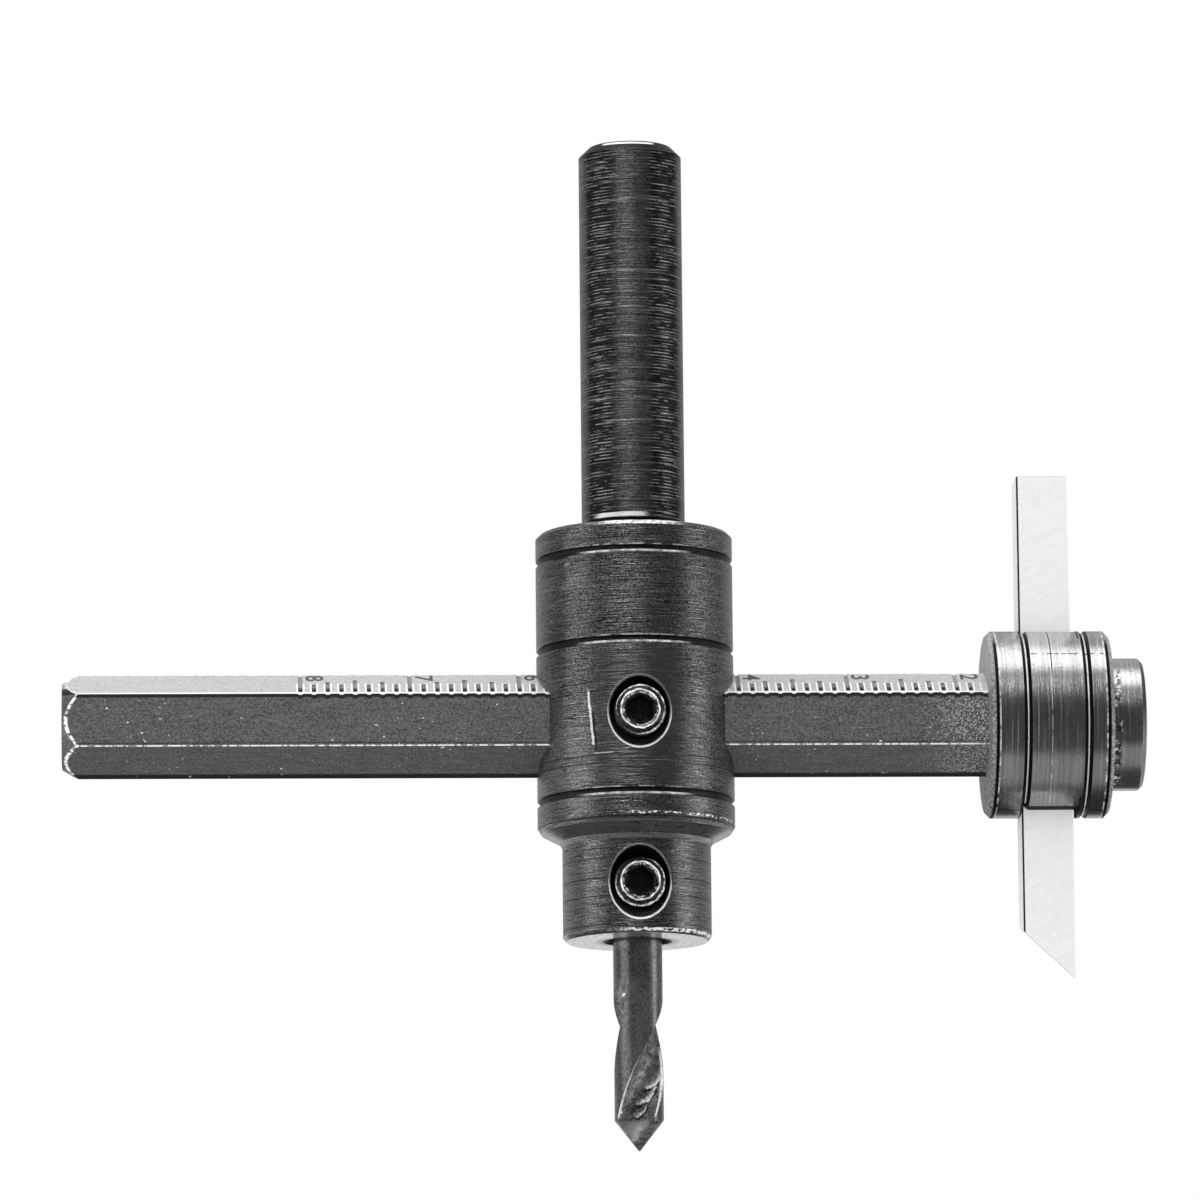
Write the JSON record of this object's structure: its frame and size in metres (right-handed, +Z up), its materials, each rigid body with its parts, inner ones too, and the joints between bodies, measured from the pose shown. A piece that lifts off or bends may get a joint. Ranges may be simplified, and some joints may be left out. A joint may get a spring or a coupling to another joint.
{
  "type": "adjustable circle cutter",
  "caption": "Circle cutter for a drill press: round shank, body with twist pilot drill, and a sliding hexagonal beam whose head holds a square tool bit.",
  "frame": {"origin": "centre of the body's top face, at the foot of the shank's free length", "axes": "+Z up along the shank, +X along the beam to the tool bit, -Y the front with the scale and the body's set screws"},
  "size_m": [0.1324, 0.0256, 0.1248],
  "materials": {
    "black_steel": "black oxide over fine turning marks, semi-gloss",
    "black_bar": "black oxide on drawn bar, with the scale face bright",
    "turned_steel": "bright turned steel",
    "ground_tool_steel": "ground high-speed steel",
    "drill_steel": "dark ground drill steel with bright margins",
    "screw_steel": "black oxide"
  },
  "bodies": {
    "body": {"body": "black_steel", "shank": "black_steel"},
    "beam": {"beam": "black_bar", "tool_head": "turned_steel"},
    "tool_bit": {"tool_bit": "ground_tool_steel"},
    "pilot_drill": {"pilot_drill": "drill_steel"},
    "beam_screw": {"beam_screw": "screw_steel"},
    "drill_screw": {"drill_screw": "screw_steel"},
    "bit_screw": {"bit_screw": "screw_steel"}
  },
  "joints": [
    {"name": "beam_slide", "type": "slide", "parent": "body", "child": "beam", "axis": [1, 0, 0], "range_m": [-0.0305, 0.0466]},
    {"name": "bit_slide", "type": "slide", "parent": "beam", "child": "tool_bit", "axis": [0, 0, 1], "range_m": [-0.018, 0.014]},
    {"name": "drill_slide", "type": "slide", "parent": "body", "child": "pilot_drill", "axis": [0, 0, -1], "range_m": [0, 0.009]},
    {"name": "beam_screw_turn", "type": "hinge", "parent": "body", "child": "beam_screw", "pos_m": [0, -0.0121, -0.0236], "axis": [0, -1, 0], "range_deg": [0, 360]},
    {"name": "drill_screw_turn", "type": "hinge", "parent": "body", "child": "drill_screw", "pos_m": [0, -0.0091, -0.04405], "axis": [0, -1, 0], "range_deg": [0, 360]},
    {"name": "bit_screw_turn", "type": "hinge", "parent": "beam", "child": "bit_screw", "pos_m": [0.058, 0, -0.0236], "axis": [1, 0, 0], "range_deg": [0, 360]}
  ]
}
